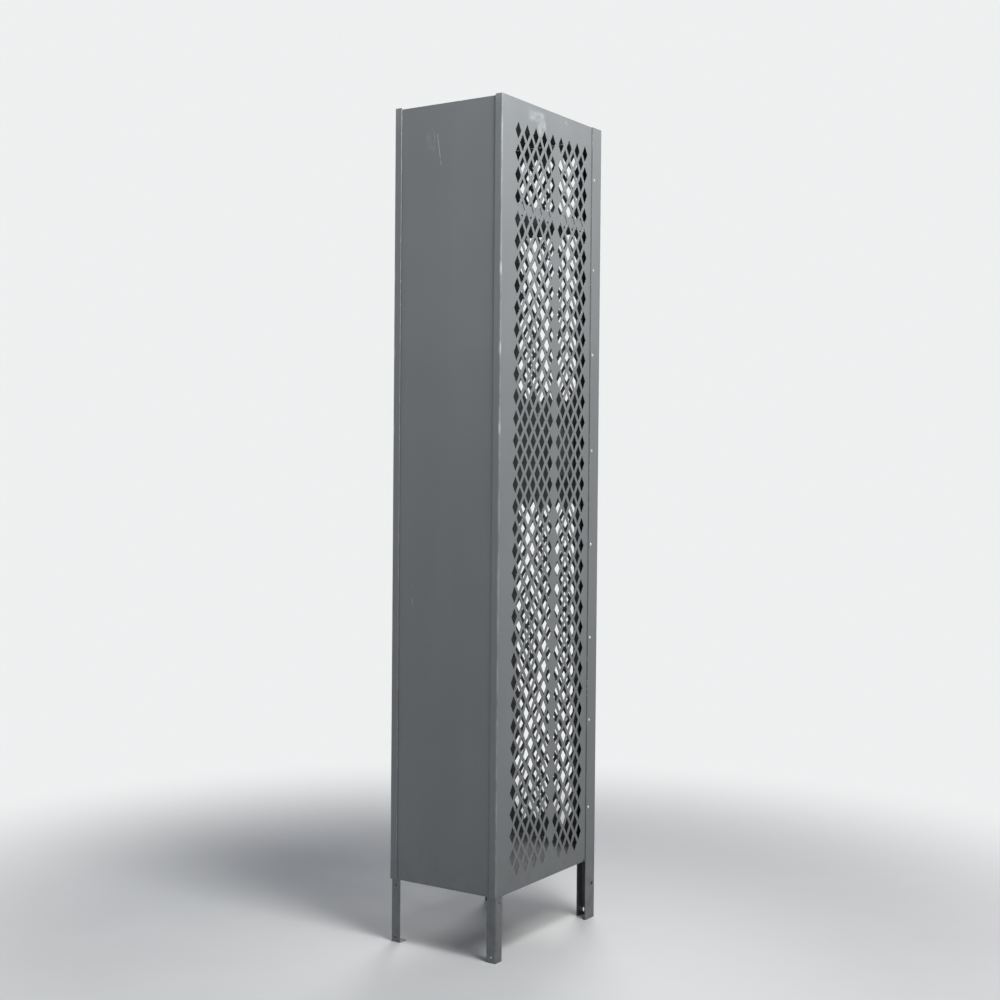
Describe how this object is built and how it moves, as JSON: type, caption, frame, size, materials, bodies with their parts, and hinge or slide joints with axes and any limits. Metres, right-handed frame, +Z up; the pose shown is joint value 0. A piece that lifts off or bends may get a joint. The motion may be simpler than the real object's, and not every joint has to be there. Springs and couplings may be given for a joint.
{
  "type": "locker cabinet",
  "caption": "Tall single-door ventilated steel locker on legs, with diamond-perforated sides and door, hat shelf, coat hooks and a lift latch for a padlock.",
  "frame": {"origin": "on the floor, at the middle of the footprint, counting the hinge knuckles at the front", "axes": "+Z up; the door faces -Y and the plain back faces +Y; +X is to the right of a person who faces the door"},
  "size_m": [0.3044, 0.4626, 1.9812],
  "materials": {
    "enamel_body": "satin grey baked enamel",
    "enamel_frame": "satin grey baked enamel",
    "enamel_door": "satin grey baked enamel",
    "bare_rivet": "bright, lightly dulled",
    "zinc_plate": "dull zinc plate",
    "aluminium_plate": "satin, blank",
    "nylon": "natural nylon",
    "black_rubber": "matt"
  },
  "bodies": {
    "cabinet": {"side_panel_left": "enamel_body", "side_panel_right": "enamel_body", "back_panel": "enamel_body", "top_panel": "enamel_body", "hat_shelf": "enamel_body", "floor_panel": "enamel_body", "frame_stile_left": "enamel_frame", "frame_stile_right": "enamel_frame", "frame_top_rail": "enamel_frame", "frame_bottom_rail": "enamel_frame", "frame_rivets_left": "bare_rivet", "frame_rivets_right": "bare_rivet", "rear_leg_left": "enamel_frame", "rear_leg_right": "enamel_frame", "wall_hook_left": "zinc_plate", "wall_hook_right": "zinc_plate", "ceiling_hook": "zinc_plate", "ceiling_hook_screw": "bare_rivet", "hinge_frame_leaf_bottom": "enamel_frame", "hinge_frame_leaf_middle": "enamel_frame", "hinge_frame_leaf_top": "enamel_frame", "hinge_pin_bottom": "zinc_plate", "hinge_pin_middle": "zinc_plate", "hinge_pin_top": "zinc_plate", "frame_hook_bottom": "enamel_frame", "frame_hook_middle": "enamel_frame", "frame_hook_top": "enamel_frame", "frame_bumper_bottom": "black_rubber", "frame_bumper_middle": "black_rubber", "frame_bumper_top": "black_rubber"},
    "door": {"door_skin": "enamel_door", "handle_cup": "enamel_door", "cup_rivets": "bare_rivet", "padlock_staple": "zinc_plate", "number_plate": "aluminium_plate", "number_plate_rivets": "bare_rivet", "hinge_rivets": "bare_rivet", "hinge_door_leaf_bottom": "enamel_door", "hinge_door_leaf_middle": "enamel_door", "hinge_door_leaf_top": "enamel_door", "lock_bar_guide_1": "nylon", "lock_bar_guide_2": "nylon", "lock_bar_guide_3": "nylon", "lock_bar_guide_4": "nylon"},
    "latch": {"lock_bar": "zinc_plate", "lift_handle": "zinc_plate", "latch_rivets": "bare_rivet"}
  },
  "joints": [
    {"name": "door_hinge", "type": "hinge", "parent": "cabinet", "child": "door", "pos_m": [0.11285, -0.2285, 1.0668], "axis": [0, 0, 1], "range_deg": [0, 170]},
    {"name": "latch_lift", "type": "slide", "parent": "door", "child": "latch", "axis": [0, 0, 1], "range_m": [0, 0.013]}
  ]
}
